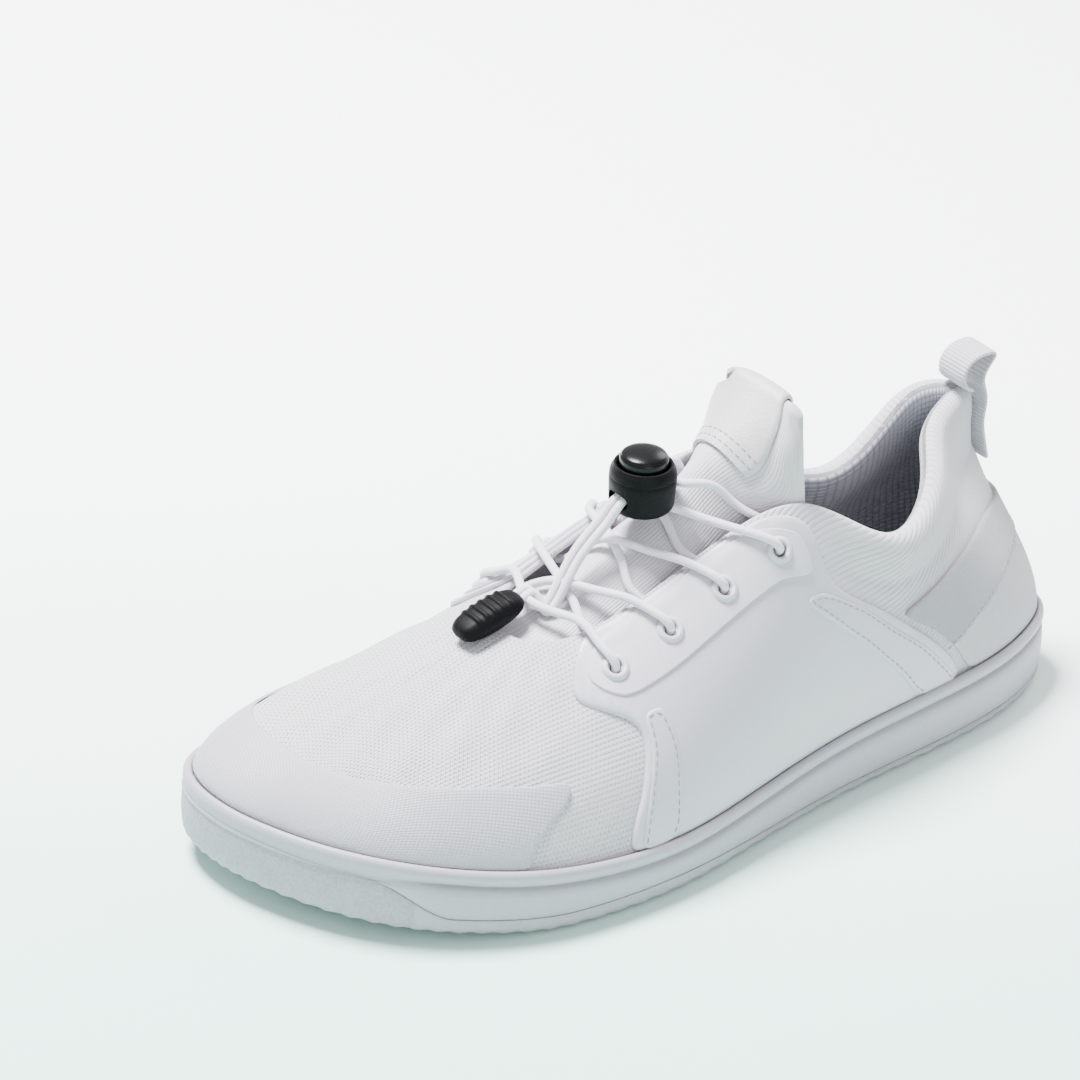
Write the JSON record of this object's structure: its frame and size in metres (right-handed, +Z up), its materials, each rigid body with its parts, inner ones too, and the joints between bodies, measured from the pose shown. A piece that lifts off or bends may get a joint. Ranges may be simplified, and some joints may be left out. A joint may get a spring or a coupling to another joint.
{
  "type": "barefoot shoe",
  "caption": "Low left barefoot shoe with a knitted upper, moulded side panels, a cupped rubber sole and an elastic lace with a cord lock.",
  "frame": {"origin": "centre of the shoe's length and width, on the floor", "axes": "+X from heel to toe, +Y to the lateral side, +Z up; the shoe stands on its sole"},
  "size_m": [0.2882, 0.1118, 0.1208],
  "materials": {
    "outsole_rubber": "matt fine texture",
    "midsole_foam": "satin",
    "insole_cloth": "textured",
    "upper_knit": "knit",
    "moulded_overlay": "satin",
    "toe_film": "satin",
    "counter_suede": "suede",
    "tongue_knit": "ribbed knit",
    "tab_leather": "smooth",
    "ribbon": "ribbed ribbon",
    "elastic_lace": "braided",
    "black_plastic": "semi-gloss"
  },
  "bodies": {
    "root": {"outsole": "outsole_rubber", "midsole": "midsole_foam", "insole": "insole_cloth", "upper": "upper_knit", "side_panel_lateral": "moulded_overlay", "side_panel_medial": "moulded_overlay", "eyelet_lateral_1": "moulded_overlay", "eyelet_lateral_2": "moulded_overlay", "eyelet_lateral_3": "moulded_overlay", "eyelet_lateral_4": "moulded_overlay", "eyelet_medial_1": "moulded_overlay", "eyelet_medial_2": "moulded_overlay", "eyelet_medial_3": "moulded_overlay", "eyelet_medial_4": "moulded_overlay", "toe_cap": "toe_film", "heel_counter": "counter_suede", "tongue": "tongue_knit", "tongue_tab": "tab_leather", "heel_pull_loop": "ribbon", "lace_bar": "elastic_lace", "lace_cross_1": "elastic_lace", "lace_cross_2": "elastic_lace", "lace_cross_3": "elastic_lace", "lace_to_lock_lateral": "elastic_lace", "lace_to_lock_medial": "elastic_lace", "lace_tail_lateral": "elastic_lace", "lace_tail_medial": "elastic_lace", "cord_lock_body": "black_plastic", "cord_lock_button": "black_plastic", "lace_end_clip": "black_plastic"}
  },
  "joints": []
}
